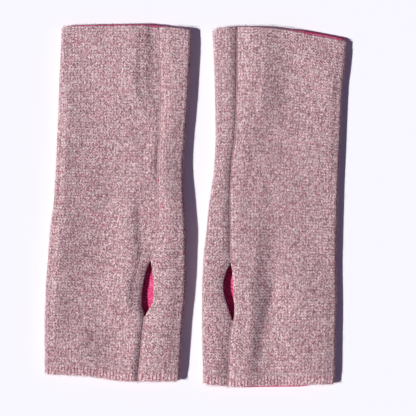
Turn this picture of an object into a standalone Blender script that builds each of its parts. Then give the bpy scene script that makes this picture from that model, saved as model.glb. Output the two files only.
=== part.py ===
"""A pair of fingerless knitted mittens, laid flat side by side.

Each mitten is one panel of two-faced knit, folded round into a flat tube and joined along a seam
on the front. The seam is left open for a while as the thumb slit. The pale heather face is
outside and the hot pink face inside, and each face is a wall of its own.

Every cross section is an open ring: from the seam's main edge over the front, round the outer
fold, along the floor, round the thumb fold and back to the seam's thumb edge. The tables give
the sizes along the length in millimetres, and the rings between them follow smooth curves.
X runs across the pair, Y from the finger hems to the forearm hems, and Z up.
"""

import math
from collections import namedtuple

import bmesh
import bpy
import numpy as np
from mathutils import Matrix, Vector

MM = 0.001

# Linear colours of the two faces, and the finish they share
HEATHER = (0.50, 0.33, 0.33)
HOT_PINK = (0.80, 0.03, 0.20)
ROUGHNESS = 0.9
SHEEN = 0.3

# Thickness of the two faces of the knit and the space between them
OUTER_FACE = 1.0
INNER_FACE = 1.0
FACE_GAP = 0.3
WALL = OUTER_FACE + FACE_GAP + INNER_FACE
SEAM_GAP = 0.3

# How far the hems round off at the two folds, and the height above which a point is on the front
CORNER_DROP = 1.6
CORNER_REACH = 2.6
FRONT_LEVEL = 5.0

# Distance over which the front climbs out of the seam's groove, on its two sides
MAIN_CLIMB = 3.4
ROLL_CLIMB = 4.6
LEAST_LEDGE = 0.7

# Points round a ring, and rings along the length below, along and above the slit
CLIMB_SHARES = (0.3, 0.65, 1.0)
PANEL_POINTS = 7
PANEL_CROWDING = 1.4
OUTER_FOLD_POINTS = 3
BACK_POINTS = 4
THUMB_FOLD_POINTS = 5
RINGS_BELOW = 5
RINGS_ALONG = 7
RINGS_ABOVE = 12

# The silhouette, the heights of the front from the floor up, and the level ledge beside the seam
Shape = namedtuple("Shape", "y outer_x thumb_x outer_fold panel beside_seam roll ledge")
# The seam's two edges, which part at the slit, and the height of each edge
Seam = namedtuple("Seam", "y main_x thumb_x main_z thumb_z")
# A soft fold of the front: where it is, its half widths, its lean and its height
Fold = namedtuple("Fold", "x y across along lean height")
# A point of a hem, seen from above, with how much further the back layer reaches
Hem = namedtuple("Hem", "x y back")
# The thumb side is 1 toward +X, and the ends are where the hems cross the seam
Mitten = namedtuple(
    "Mitten",
    "name thumb_side finger_end forearm_end shapes seams folds forearm_hem finger_hem",
)

LEFT = Mitten(
    name="left",
    thumb_side=1,
    finger_end=-113.3,
    forearm_end=116.4,
    shapes=(
        Shape(115, -86.5, -2.6, 5.6, 5.7, 7.3, 9.2, 3.2),
        Shape(84, -87.8, -4.1, 5.6, 5.6, 7.0, 9.2, 2.6),
        Shape(60, -88.5, -5.8, 5.6, 5.6, 6.0, 9.2, 0.6),
        Shape(46, -89.1, -6.9, 5.6, 5.6, 5.9, 9.2, 0.0),
        Shape(25, -90.1, -8.2, 5.6, 5.6, 6.2, 9.2, 0.0),
        Shape(1, -91.4, -7.3, 5.6, 5.5, 6.3, 9.8, 0.0),
        Shape(-18, -93.9, -6.3, 5.7, 5.5, 6.3, 10.2, 0.0),
        Shape(-36, -95.1, -6.1, 5.8, 5.6, 6.4, 10.0, 0.0),
        Shape(-58, -96.6, -6.9, 5.8, 5.7, 6.5, 9.6, 0.0),
        Shape(-78, -97.3, -8.7, 5.8, 5.7, 6.1, 9.2, 0.0),
        Shape(-113, -97.3, -10.3, 5.6, 5.6, 5.9, 9.2, 0.0),
    ),
    seams=(
        Seam(115, -25.6, -25.6, 5.1, 5.1),
        Seam(84, -24.2, -24.2, 5.1, 5.1),
        Seam(46, -23.9, -23.9, 5.3, 5.3),
        Seam(1, -24.1, -24.1, 5.5, 5.5),
        Seam(-18, -25.1, -25.1, 5.5, 5.5),
        Seam(-28, -26.4, -26.4, 5.4, 5.4),
        Seam(-36, -29.8, -29.8, 5.4, 5.4),
        Seam(-41.5, -31.6, -28.0, 6.0, 6.6),
        Seam(-50, -33.4, -27.3, 6.3, 7.2),
        Seam(-58, -34.4, -27.3, 6.3, 7.2),
        Seam(-64.5, -34.0, -29.1, 6.0, 6.6),
        Seam(-69, -32.2, -32.2, 5.4, 5.4),
        Seam(-78, -33.7, -33.7, 5.2, 5.2),
        Seam(-94, -35.5, -35.5, 5.2, 5.2),
        Seam(-113, -37.3, -37.3, 5.1, 5.1),
    ),
    folds=(
        Fold(-43, -24, 7.0, 54, 0.02, 0.9),
        Fold(-36, -22, 3.6, 16, 0.16, -0.7),
        Fold(-29.5, 15, 4.6, 23, 0.0, 0.7),
        Fold(-67, -20, 15, 62, 0.05, -0.4),
        Fold(-60, 75, 18, 30, 0.0, 0.5),
        Fold(-79, -62, 9, 34, 0.0, 0.4),
    ),
    forearm_hem=(
        Hem(-86.5, 115.0, 0.0),
        Hem(-80, 115.7, 0.0),
        Hem(-63, 116.3, 0.6),
        Hem(-29, 116.6, 0.8),
        Hem(-16, 115.7, 0.4),
        Hem(-11, 115.1, 0.0),
        Hem(-2.6, 113.5, 0.0),
    ),
    finger_hem=(
        Hem(-97.3, -108.6, 0.0),
        Hem(-74, -109.8, 0.0),
        Hem(-61, -111.2, 0.0),
        Hem(-50, -112.8, 0.0),
        Hem(-37, -113.3, 0.0),
        Hem(-10.3, -113.2, 0.0),
    ),
)

RIGHT = Mitten(
    name="right",
    thumb_side=-1,
    finger_end=-116.4,
    forearm_end=115.2,
    shapes=(
        Shape(115, 97.4, 10.9, 5.6, 5.8, 6.0, 9.4, 0.0),
        Shape(98, 95.9, 11.7, 5.6, 5.8, 6.0, 9.4, 0.0),
        Shape(84, 94.5, 12.2, 5.6, 5.8, 5.9, 9.4, 0.0),
        Shape(46, 92.9, 12.9, 5.6, 5.8, 5.9, 9.4, 0.0),
        Shape(25, 92.0, 11.9, 5.6, 5.7, 5.9, 9.4, 0.0),
        Shape(1, 91.2, 8.7, 5.6, 5.6, 6.0, 9.5, 0.0),
        Shape(-18, 90.7, 6.8, 5.6, 5.6, 6.2, 9.6, 0.0),
        Shape(-36, 90.4, 5.0, 5.6, 5.6, 6.4, 9.7, 0.0),
        Shape(-58, 90.7, 4.2, 5.6, 5.7, 6.6, 9.6, 0.0),
        Shape(-78, 90.3, 4.2, 5.6, 5.8, 6.4, 9.2, 0.0),
        Shape(-113, 89.8, 4.8, 5.6, 5.7, 6.2, 9.2, 0.0),
    ),
    seams=(
        Seam(115, 26.9, 26.9, 5.1, 5.1),
        Seam(84, 26.7, 26.7, 5.1, 5.1),
        Seam(46, 25.6, 25.6, 5.2, 5.2),
        Seam(25, 23.1, 23.1, 5.3, 5.3),
        Seam(1, 22.3, 22.3, 5.4, 5.4),
        Seam(-18, 22.5, 22.5, 5.4, 5.4),
        Seam(-38, 23.0, 23.0, 5.5, 5.5),
        Seam(-41.5, 23.5, 20.5, 5.9, 6.4),
        Seam(-51.5, 24.0, 18.1, 6.2, 6.9),
        Seam(-58, 24.3, 19.0, 6.2, 6.8),
        Seam(-64.5, 24.8, 21.1, 6.0, 6.3),
        Seam(-72.5, 24.1, 24.1, 5.4, 5.4),
        Seam(-78, 22.8, 22.8, 5.2, 5.2),
        Seam(-97, 21.5, 21.5, 5.1, 5.1),
        Seam(-113, 20.9, 20.9, 5.1, 5.1),
    ),
    folds=(
        Fold(45.5, -68, 4.2, 17, -0.10, -0.7),
        Fold(39, -96, 6.5, 16, -0.10, -0.6),
        Fold(30.5, -88, 6.0, 30, 0.0, 0.7),
        Fold(60, 10, 17, 55, 0.0, 0.5),
        Fold(80, -60, 11, 36, 0.0, 0.5),
    ),
    forearm_hem=(
        Hem(10.9, 113.0, 0.0),
        Hem(16, 114.5, 0.0),
        Hem(30, 115.4, 0.0),
        Hem(42, 115.2, 0.2),
        Hem(54, 114.2, 0.8),
        Hem(70, 111.1, 1.5),
        Hem(81, 108.8, 1.9),
        Hem(97.4, 106.0, 1.2),
    ),
    finger_hem=(
        Hem(4.8, -115.2, 0.0),
        Hem(21, -116.4, 0.0),
        Hem(26, -116.8, 0.0),
        Hem(37, -116.1, -0.6),
        Hem(67, -115.7, -0.8),
        Hem(89.8, -115.1, 0.0),
    ),
)


def remove_all_objects():
    for thing in list(bpy.data.objects):
        bpy.data.objects.remove(thing, do_unlink=True)


def make_material(name, colour):
    material = bpy.data.materials.new(name)
    material.use_nodes = True
    shader = material.node_tree.nodes["Principled BSDF"]
    shader.inputs["Base Color"].default_value = (*colour, 1.0)
    shader.inputs["Roughness"].default_value = ROUGHNESS
    shader.inputs["Metallic"].default_value = 0.0
    shader.inputs["Sheen Weight"].default_value = SHEEN
    return material


def smooth_step(share):
    share = min(max(share, 0.0), 1.0)
    return share * share * (3.0 - 2.0 * share)


def read_curve(rows, value, at, key="y"):
    """Reads one named column of a table at a place between its rows, on a curve with no overshoot."""
    rows = sorted(rows, key=lambda row: getattr(row, key))
    places = np.array([getattr(row, key) for row in rows], float)
    values = np.array([getattr(row, value) for row in rows], float)
    steps = np.diff(places)
    slopes = np.diff(values) / steps
    tangents = np.zeros(len(rows))
    for i in range(1, len(rows) - 1):
        before, after = slopes[i - 1], slopes[i]
        if before * after > 0:
            tangents[i] = 2.0 * before * after / (before + after)
    tangents[0] = slopes[0]
    tangents[-1] = slopes[-1]
    at = float(np.clip(at, places[0], places[-1]))
    i = int(np.clip(np.searchsorted(places, at) - 1, 0, len(rows) - 2))
    s = (at - places[i]) / steps[i]
    return float(
        values[i] * (1 + 2 * s) * (1 - s) ** 2
        + tangents[i] * steps[i] * s * (1 - s) ** 2
        + values[i + 1] * s * s * (3 - 2 * s)
        + tangents[i + 1] * steps[i] * s * s * (s - 1)
    )


def ease_out(share):
    share = min(max(share, 0.0), 1.0)
    return 1.0 - (1.0 - share) ** 2


def through_knots(at, knots):
    """A height that eases from knot to knot, level at each, for knots sorted by their place."""
    if at <= knots[0][0]:
        return knots[0][1]
    for (start, low), (end, high) in zip(knots, knots[1:]):
        if at <= end:
            return low + (high - low) * smooth_step((at - start) / (end - start))
    return knots[-1][1]


def fold_relief(mitten, x, y):
    total = 0.0
    for fold in mitten.folds:
        along = (y - fold.y) / fold.along
        across = (x - fold.x - fold.lean * (y - fold.y)) / fold.across
        total += fold.height * math.exp(-across * across - along**4)
    return total


def half_turn(count):
    """Angles of the points inside a half turn, without its two ends."""
    return [math.pi * i / (count + 1) for i in range(1, count + 1)]


def section(mitten, y):
    """One open ring at a nominal place along the mitten, as (u, z) points on the outer face.

    u is x measured so that the thumb fold lies on its positive side.
    """
    side = mitten.thumb_side
    shape = {name: read_curve(mitten.shapes, name, y) for name in Shape._fields[1:]}
    seam = {name: read_curve(mitten.seams, name, y) for name in Seam._fields[1:]}
    main_edge = side * seam["main_x"]
    roll_edge = side * seam["thumb_x"]
    parted = max(SEAM_GAP - (roll_edge - main_edge), 0.0) / 2
    main_edge -= parted
    roll_edge += parted
    outer_radius = shape["outer_fold"] / 2
    outer_top = side * shape["outer_x"] + outer_radius
    thumb_radius = shape["roll"] / 2
    thumb_top = side * shape["thumb_x"] - thumb_radius

    # The main front, from the seam over its ledge and climb to the outer fold
    ledge_edge = main_edge - max(shape["ledge"], LEAST_LEDGE)
    climb_top = ledge_edge - MAIN_CLIMB
    rise = shape["beside_seam"] - seam["main_z"]
    ring = [(main_edge, seam["main_z"]), (ledge_edge, seam["main_z"])]
    for share in CLIMB_SHARES:
        ring.append((ledge_edge - MAIN_CLIMB * share, seam["main_z"] + rise * ease_out(share)))
    knots = (
        (outer_top, shape["outer_fold"]),
        ((outer_top + climb_top) / 2, shape["panel"]),
        (climb_top, shape["beside_seam"]),
    )
    for i in range(1, PANEL_POINTS + 1):
        u = climb_top + (outer_top - climb_top) * (i / PANEL_POINTS) ** PANEL_CROWDING
        fade = smooth_step((climb_top - u) / MAIN_CLIMB) * smooth_step((u - outer_top) / MAIN_CLIMB)
        ring.append((u, through_knots(u, knots) + fade * fold_relief(mitten, side * u, y)))

    # The outer fold, the back on the floor and the thumb fold
    for turn in half_turn(OUTER_FOLD_POINTS):
        out, up = outer_radius * math.sin(turn), outer_radius * math.cos(turn)
        ring.append((outer_top - out, outer_radius + up))
    for i in range(BACK_POINTS + 2):
        ring.append((outer_top + (thumb_top - outer_top) * i / (BACK_POINTS + 1), 0.0))
    for turn in half_turn(THUMB_FOLD_POINTS):
        out, up = thumb_radius * math.sin(turn), thumb_radius * math.cos(turn)
        ring.append((thumb_top + out, thumb_radius - up))

    # The roll on the thumb side, down to the seam
    ring.append((thumb_top, shape["roll"]))
    ring.append(((thumb_top + roll_edge + ROLL_CLIMB) / 2, shape["roll"]))
    rise = shape["roll"] - seam["thumb_z"]
    for share in (*reversed(CLIMB_SHARES), 0.0):
        ring.append((roll_edge + ROLL_CLIMB * share, seam["thumb_z"] + rise * ease_out(share)))
    return ring


def inward(ring):
    """The direction into the wall at each point of a ring."""
    points = np.array(ring)
    ahead = np.diff(points, axis=0)
    ahead /= np.linalg.norm(ahead, axis=1)[:, None]
    normals = np.stack([-ahead[:, 1], ahead[:, 0]], axis=1)
    summed = np.vstack([normals[:1], normals[:-1] + normals[1:], normals[-1:]])
    summed /= np.linalg.norm(summed, axis=1)[:, None]
    stretch = np.ones(len(points))
    stretch[1:-1] = 1 / np.einsum("ij,ij->i", summed[1:-1], normals[1:])
    directions = summed * stretch[:, None]
    directions[0] = (0.0, -1.0)
    directions[-1] = (0.0, -1.0)
    return directions


def hem_place(hem, x, z):
    """Where a hem lies at x, on the front layer, on the back layer or on the fold between them."""
    front = read_curve(hem, "y", x, key="x")
    back = read_curve(hem, "back", x, key="x")
    return front + back * (1 - smooth_step(z / FRONT_LEVEL))


def corner_drop(distance):
    return CORNER_DROP * max(1 - distance / CORNER_REACH, 0.0) ** 2


def slit_ends(mitten):
    open_rows = [i for i, row in enumerate(mitten.seams) if row.main_x != row.thumb_x]
    return mitten.seams[open_rows[-1] + 1].y, mitten.seams[open_rows[0] - 1].y


def places_along(mitten):
    """Nominal places of the rings, closer together along the slit."""
    low, high = slit_ends(mitten)
    stretches = (
        (mitten.finger_end, low, RINGS_BELOW),
        (low, high, RINGS_ALONG),
        (high, mitten.forearm_end, RINGS_ABOVE),
    )
    places = [start + (end - start) * i / n for start, end, n in stretches for i in range(n)]
    return places + [mitten.forearm_end]


def wall_vertices(mitten, depth):
    """Rows of points on a surface at this depth inside the outer face, one row for each ring."""
    rows = []
    for y in places_along(mitten):
        ring = section(mitten, y)
        share = (y - mitten.finger_end) / (mitten.forearm_end - mitten.finger_end)
        outer_edge = min(point[0] for point in ring)
        thumb_edge = max(point[0] for point in ring)
        row = []
        for (u, z), (du, dz) in zip(ring, inward(ring)):
            x = mitten.thumb_side * (u + du * depth)
            drop = corner_drop(min(u - outer_edge, thumb_edge - u))
            low = hem_place(mitten.finger_hem, x, z) + drop
            high = hem_place(mitten.forearm_hem, x, z) - drop
            row.append(Vector((x, low + (high - low) * share, z + dz * depth)) * MM)
        rows.append(row)
    return rows


def build_face(mitten, name, depths, material):
    """A closed wall between two depths: both surfaces, the seam's two cut edges and both hems."""
    mesh = bmesh.new()
    outer, inner = (
        [[mesh.verts.new(point) for point in row] for row in wall_vertices(mitten, depth)]
        for depth in depths
    )
    last = len(outer[0]) - 1
    for j in range(len(outer) - 1):
        for i in range(last):
            mesh.faces.new((outer[j][i], outer[j][i + 1], outer[j + 1][i + 1], outer[j + 1][i]))
            mesh.faces.new((inner[j][i], inner[j + 1][i], inner[j + 1][i + 1], inner[j][i + 1]))
        for i in (0, last):
            mesh.faces.new((outer[j][i], outer[j + 1][i], inner[j + 1][i], inner[j][i]))
    for j in (0, len(outer) - 1):
        for i in range(last):
            mesh.faces.new((outer[j][i], inner[j][i], inner[j][i + 1], outer[j][i + 1]))
    bmesh.ops.recalc_face_normals(mesh, faces=mesh.faces)
    data = bpy.data.meshes.new(name)
    mesh.to_mesh(data)
    mesh.free()
    data.materials.append(material)
    thing = bpy.data.objects.new(name, data)
    bpy.context.scene.collection.objects.link(thing)
    return thing


def centre_on_floor(things):
    """Moves the meshes so that the pair's box is centred on the origin and stands on the floor."""
    corners = np.array([v.co[:] for thing in things for v in thing.data.vertices])
    low, high = corners.min(axis=0), corners.max(axis=0)
    shift = Vector((-(low[0] + high[0]) / 2, -(low[1] + high[1]) / 2, -low[2]))
    for thing in things:
        thing.data.transform(Matrix.Translation(shift))


def build():
    remove_all_objects()
    heather = make_material("heather_knit", HEATHER)
    pink = make_material("pink_knit", HOT_PINK)
    faces = (
        ("outer_knit", (0.0, OUTER_FACE), heather),
        ("inner_knit", (OUTER_FACE + FACE_GAP, WALL), pink),
    )
    things = [
        build_face(mitten, f"{mitten.name}_{label}", depths, material)
        for mitten in (LEFT, RIGHT)
        for label, depths, material in faces
    ]
    centre_on_floor(things)


build()
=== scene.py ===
"""Looks of a pair of fingerless knitted mittens that lie flat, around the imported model.

Each mitten is one panel of two-faced knit folded into a flat tube: a heather face outside and a hot
pink face inside. Both faces are built here stitch by stitch on cross sections like the model's, with
softer rolls, and with the seam's linking stitches, the turned hems, the soft folds and the loose
fibres that the plain solids leave out.

Sizes are in millimetres, heights are above the floor, and MM turns them into metres. X runs across
the pair, Y from the finger hems to the forearm hems. Along a mitten, places are counted in courses
from the finger hem, and round it in wales from the seam's main edge over the front to the outer
fold, along the back, round the thumb fold and back to the seam.
"""

import math
from collections import namedtuple

import bpy
import numpy as np
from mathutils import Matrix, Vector


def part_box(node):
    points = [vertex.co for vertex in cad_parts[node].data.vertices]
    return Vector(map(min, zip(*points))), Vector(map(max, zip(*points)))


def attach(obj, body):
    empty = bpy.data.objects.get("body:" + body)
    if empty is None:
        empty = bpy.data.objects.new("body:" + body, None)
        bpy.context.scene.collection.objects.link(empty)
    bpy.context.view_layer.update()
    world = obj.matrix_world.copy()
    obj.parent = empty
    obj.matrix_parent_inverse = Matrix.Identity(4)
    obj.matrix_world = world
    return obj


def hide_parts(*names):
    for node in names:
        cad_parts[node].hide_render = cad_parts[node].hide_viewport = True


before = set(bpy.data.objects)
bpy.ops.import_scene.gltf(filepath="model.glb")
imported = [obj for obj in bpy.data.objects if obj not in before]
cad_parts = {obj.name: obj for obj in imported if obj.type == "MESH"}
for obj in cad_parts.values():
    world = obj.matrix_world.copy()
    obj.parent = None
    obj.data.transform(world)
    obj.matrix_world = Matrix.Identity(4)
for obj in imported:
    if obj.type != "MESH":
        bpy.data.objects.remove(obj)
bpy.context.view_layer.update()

MM = 0.001

# The knit: stitches round the tube and along it, and how deep the valleys between them are
WALES = 84
COURSES = 128
OUTER_RELIEF = 0.5
INNER_RELIEF = 0.38
# A stitch's legs climb this share of a course from the wale's middle to its side, where they lie
# lower by this share of the relief, and they are this round across
LEG_CLIMB = 0.66
SIDE_DIP = 0.4
LEG_ROUNDNESS = 0.6
# Courses at each hem over which the legs straighten into ribs, how much lower a rib's sides lie than
# its middle, and how much of the courses' rounding is left on it
HEM_COURSES = 3.0
RIB_DIP = 0.9
RIB_ROUNDING = 0.2

# Thickness of the two faces of the knit and the space between them
OUTER_FACE = 1.0
INNER_FACE = 1.0
FACE_GAP = 0.3
WALL = OUTER_FACE + FACE_GAP + INNER_FACE

# The closed seam's width, the widest opening that still counts as closed, and the opening at which
# the slit's edges part freely
SEAM_GAP = 0.1
CLOSED_GAP = 1.5 * SEAM_GAP
FREE_GAP = 2.0

# How much shorter the cloth is where a hem meets a fold, and how far from the fold that starts
CORNER_DROP = 1.6
CORNER_REACH = 2.6

# The height above which a point is on the front, and the one below which it is on the back
FRONT_LEVEL = 5.0
BACK_LEVEL = 0.1

# The wales run straight but for those near the seam, which it pulls along over this distance; how
# many rows of the outline are averaged for the straight ones
PULL_REACH = 11.0
CALM_ROWS = 24

# How square the two folds are, 2 being round
OUTER_SQUARENESS = 2.6
THUMB_SQUARENESS = 3.2

# How much lower the front lies at a hem, and how far in that reaches
HEM_SINK = 0.7
HEM_SINK_REACH = 9.0

# The narrowest level ledge beside the seam, and how near the climb and the outer fold the soft
# folds fade out
LEAST_LEDGE = 0.3
RELIEF_FADE = 4.0

# Into how many steps each stretch of a ring is divided
LEDGE_STEPS = 8
CLIMB_STEPS = 24
PANEL_STEPS = 240
OUTER_FOLD_STEPS = 40
BACK_STEPS = 300
THUMB_FOLD_STEPS = 60
ROLL_STEPS = 80

# The rounding of every edge: distance from the edge, and how far the surface has sunk there
Rounding = namedtuple("Rounding", "distance sink")
OUTER_ROUNDING = (Rounding(0.0, 0.6), Rounding(0.1, 0.3), Rounding(0.32, 0.1))
INNER_ROUNDING = (Rounding(0.0, 0.7), Rounding(0.12, 0.34), Rounding(0.34, 0.1))

# The silhouette's two sides, and the heights of the front above the floor. From the seam's groove
# the main side runs level over the ledge and rises over the length climb to beside_seam. It sinks to
# panel by the middle of what is left, and it reaches outer_fold at the outer fold. The roll on the
# thumb side is a dome with its crest at crest_place, a share of the way from the thumb fold to the
# seam, and it falls by fold_drop toward the thumb fold.
Shape = namedtuple(
    "Shape", "y outer_x thumb_x outer_fold panel beside_seam climb ledge crest crest_place fold_drop"
)
# The seam's two edges, which part at the slit, and the height of each edge
Seam = namedtuple("Seam", "y main_x thumb_x main_z thumb_z")
# A soft fold of the front: where it is, its half widths, its lean and its height
Fold = namedtuple("Fold", "x y across along lean height")
# A point of a hem, seen from above, with how much further the back layer reaches, and the pink face
Hem = namedtuple("Hem", "x y back peek")
# The thumb side is 1 toward +X, the tables are read from finger_end to forearm_end, and the wales
# are counted from first_wale on
Mitten = namedtuple(
    "Mitten",
    "name thumb_side first_wale finger_end forearm_end shapes seams folds forearm_hem finger_hem",
)
# A faint unevenness that both fronts share, as a wave with its lengths along x and y
Ripple = namedtuple("Ripple", "x_length y_length start height")
RIPPLES = (
    Ripple(66, 51, 0.20, 0.15),
    Ripple(41, -90, 0.95, 0.12),
    Ripple(27, 34, 0.55, 0.07),
    Ripple(-19, 45, 0.10, 0.05),
)

LEFT = Mitten(
    name="left",
    thumb_side=1,
    first_wale=0,
    finger_end=-113.3,
    forearm_end=116.4,
    shapes=(
        Shape(115, -86.5, -2.4, 5.6, 6.4, 8.2, 4.8, 5.0, 7.7, 0.40, 0.2),
        Shape(98, -87.1, -3.1, 5.6, 6.4, 8.0, 6.2, 5.0, 7.9, 0.35, 0.2),
        Shape(80, -87.9, -4.0, 5.6, 6.4, 7.3, 7.0, 5.4, 8.0, 0.32, 0.3),
        Shape(60, -88.5, -5.4, 5.6, 6.4, 6.9, 5.0, 1.6, 8.0, 0.45, 0.5),
        Shape(46, -89.1, -6.4, 5.6, 6.4, 7.1, 4.0, 0.0, 8.0, 0.62, 0.9),
        Shape(25, -90.1, -7.7, 5.6, 6.4, 8.1, 4.5, 0.0, 8.7, 0.66, 1.1),
        Shape(1, -91.4, -6.8, 5.6, 6.4, 7.1, 8.0, 0.0, 9.4, 0.32, 0.5),
        Shape(-18, -93.9, -5.8, 5.7, 6.4, 6.7, 8.4, 0.0, 9.8, 0.30, 0.5),
        Shape(-36, -95.1, -5.6, 5.8, 6.4, 7.4, 4.6, 0.0, 9.3, 0.38, 0.8),
        Shape(-58, -96.6, -6.4, 5.8, 6.4, 7.5, 4.8, 0.0, 9.0, 0.44, 1.2),
        Shape(-78, -97.3, -8.2, 5.8, 6.4, 8.2, 4.6, 0.0, 8.9, 0.48, 1.4),
        Shape(-113, -97.3, -10.0, 5.6, 6.0, 7.7, 4.6, 0.0, 8.0, 0.48, 1.1),
    ),
    seams=(
        Seam(115, -23.6, -23.6, 6.7, 6.7),
        Seam(98, -23.1, -23.1, 6.6, 6.6),
        Seam(84, -22.5, -22.5, 6.2, 6.2),
        Seam(60, -22.7, -22.7, 6.3, 6.3),
        Seam(46, -23.2, -23.2, 6.6, 6.6),
        Seam(25, -24.2, -24.2, 7.4, 7.4),
        Seam(1, -24.0, -24.0, 7.7, 7.7),
        Seam(-18, -25.1, -25.1, 7.9, 7.9),
        Seam(-28, -27.0, -27.0, 7.3, 7.3),
        Seam(-35, -29.1, -28.8, 6.9, 7.0),
        Seam(-41.5, -31.4, -28.2, 6.2, 7.1),
        Seam(-50, -33.4, -27.3, 6.3, 7.3),
        Seam(-58, -34.4, -27.3, 6.2, 7.3),
        Seam(-64.5, -34.2, -29.1, 6.3, 7.0),
        Seam(-68, -33.3, -31.4, 6.3, 6.8),
        Seam(-72, -32.9, -32.6, 6.6, 6.7),
        Seam(-78, -33.5, -33.5, 6.7, 6.7),
        Seam(-94, -35.1, -35.1, 6.4, 6.4),
        Seam(-113, -37.0, -37.0, 6.1, 6.1),
    ),
    folds=(
        Fold(-43, -31, 8, 39, 0.07, 1.6),
        Fold(-31.5, -18, 5.4, 19, -0.17, -1.6),
        Fold(-32.4, 27, 2.8, 14, 0.0, -0.7),
        Fold(-61, -8, 13, 64, 0.11, -1.3),
        Fold(-55, -94, 13, 24, 0.0, -1.2),
        Fold(-43, 92, 13, 34, 0.08, 1.2),
        Fold(-69, 70, 14, 30, 0.0, -0.4),
        Fold(-88, -12, 9, 84, 0.05, 1.2),
    ),
    forearm_hem=(
        Hem(-86.5, 114.9, 0.0, -0.3),
        Hem(-80, 115.4, 0.0, 0.4),
        Hem(-63, 115.6, 0.0, 0.7),
        Hem(-36, 115.7, 0.0, 0.7),
        Hem(-25, 114.7, 0.3, 1.4),
        Hem(-19, 114.7, 0.1, 0.2),
        Hem(-11, 114.1, 0.0, -0.3),
        Hem(-2.4, 113.0, 0.0, -0.5),
    ),
    finger_hem=(
        Hem(-97.3, -108.6, 0.0, -0.2),
        Hem(-74, -109.8, 0.0, -0.1),
        Hem(-61, -111.2, 0.0, -0.1),
        Hem(-50, -112.8, 0.0, -0.1),
        Hem(-37, -113.3, 0.0, -0.1),
        Hem(-10.3, -113.2, 0.0, -0.2),
    ),
)

RIGHT = Mitten(
    name="right",
    thumb_side=-1,
    first_wale=100,
    finger_end=-116.4,
    forearm_end=115.2,
    shapes=(
        Shape(115, 97.8, 10.9, 5.6, 6.5, 8.3, 14.0, 0.0, 7.7, 0.55, 0.5),
        Shape(98, 96.3, 11.7, 5.6, 6.5, 8.3, 14.0, 0.0, 7.7, 0.55, 0.5),
        Shape(84, 94.9, 12.2, 5.6, 6.4, 8.2, 13.0, 0.0, 7.6, 0.55, 0.5),
        Shape(46, 93.3, 12.9, 5.6, 6.3, 7.4, 8.0, 0.0, 7.4, 0.50, 0.4),
        Shape(25, 92.4, 11.9, 5.6, 6.3, 7.3, 7.0, 0.0, 7.5, 0.45, 0.4),
        Shape(1, 91.6, 8.7, 5.6, 6.3, 7.5, 7.0, 0.0, 7.9, 0.45, 0.4),
        Shape(-18, 91.1, 6.8, 5.6, 6.3, 7.8, 7.0, 0.0, 8.2, 0.45, 0.4),
        Shape(-36, 90.8, 5.0, 5.6, 6.3, 7.8, 7.0, 0.0, 8.3, 0.42, 0.4),
        Shape(-58, 91.1, 4.2, 5.6, 6.3, 7.8, 6.0, 0.0, 8.3, 0.40, 0.4),
        Shape(-78, 90.7, 4.2, 6.0, 6.4, 7.9, 8.0, 0.0, 8.0, 0.35, 0.4),
        Shape(-113, 90.2, 4.8, 6.0, 6.3, 7.6, 8.0, 0.0, 7.6, 0.35, 0.4),
    ),
    seams=(
        Seam(115, 26.9, 26.9, 6.25, 6.25),
        Seam(84, 26.7, 26.7, 6.15, 6.15),
        Seam(46, 25.6, 25.6, 6.45, 6.45),
        Seam(25, 23.1, 23.1, 6.25, 6.25),
        Seam(1, 22.3, 22.3, 6.55, 6.55),
        Seam(-18, 22.5, 22.5, 6.75, 6.75),
        Seam(-36.5, 22.9, 22.6, 6.75, 6.75),
        Seam(-41.5, 23.5, 20.5, 6.45, 6.95),
        Seam(-51.5, 24.0, 18.1, 6.45, 7.25),
        Seam(-58, 24.3, 19.0, 6.45, 7.25),
        Seam(-64.5, 24.9, 20.9, 6.45, 7.05),
        Seam(-70, 24.9, 22.7, 6.45, 6.75),
        Seam(-74, 24.2, 23.8, 6.45, 6.55),
        Seam(-78, 22.9, 22.9, 6.45, 6.45),
        Seam(-97, 21.5, 21.5, 6.35, 6.35),
        Seam(-113, 20.9, 20.9, 6.15, 6.15),
    ),
    folds=(
        Fold(48.6, -62, 3.8, 15, 0.22, -1.2),
        Fold(42, -94, 4.2, 14, 0.10, -0.9),
        Fold(37, -60, 6.5, 58, 0.08, 1.1),
        Fold(48, -68, 9.5, 58, 0.0, -1.2),
        Fold(74, -86, 15, 44, 0.0, 1.1),
        Fold(42, 86, 11, 30, 0.0, 0.8),
        Fold(60, 78, 13, 34, 0.0, -0.8),
        Fold(90, 62, 14, 52, 0.0, 0.8),
    ),
    forearm_hem=(
        Hem(10.9, 113.0, 0.0, -0.3),
        Hem(16, 114.4, 0.0, -0.3),
        Hem(30, 114.8, 0.0, -0.4),
        Hem(42, 114.5, 0.0, -0.3),
        Hem(56, 113.3, 0.2, 0.1),
        Hem(70, 110.7, 0.4, 1.4),
        Hem(84, 108.1, 0.7, 1.6),
        Hem(94, 106.3, 0.7, 1.5),
        Hem(97.8, 105.7, 0.6, 0.4),
    ),
    finger_hem=(
        Hem(4.8, -115.2, 0.0, -0.2),
        Hem(21, -116.4, 0.0, -0.1),
        Hem(26, -116.8, 0.0, 0.0),
        Hem(37, -116.1, 0.3, 0.7),
        Hem(67, -115.7, 0.3, 0.8),
        Hem(76, -115.3, 0.0, 0.0),
        Hem(89.8, -115.1, 0.0, -0.2),
    ),
)


def smooth_step(share):
    share = np.clip(share, 0.0, 1.0)
    return share * share * (3.0 - 2.0 * share)


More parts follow.
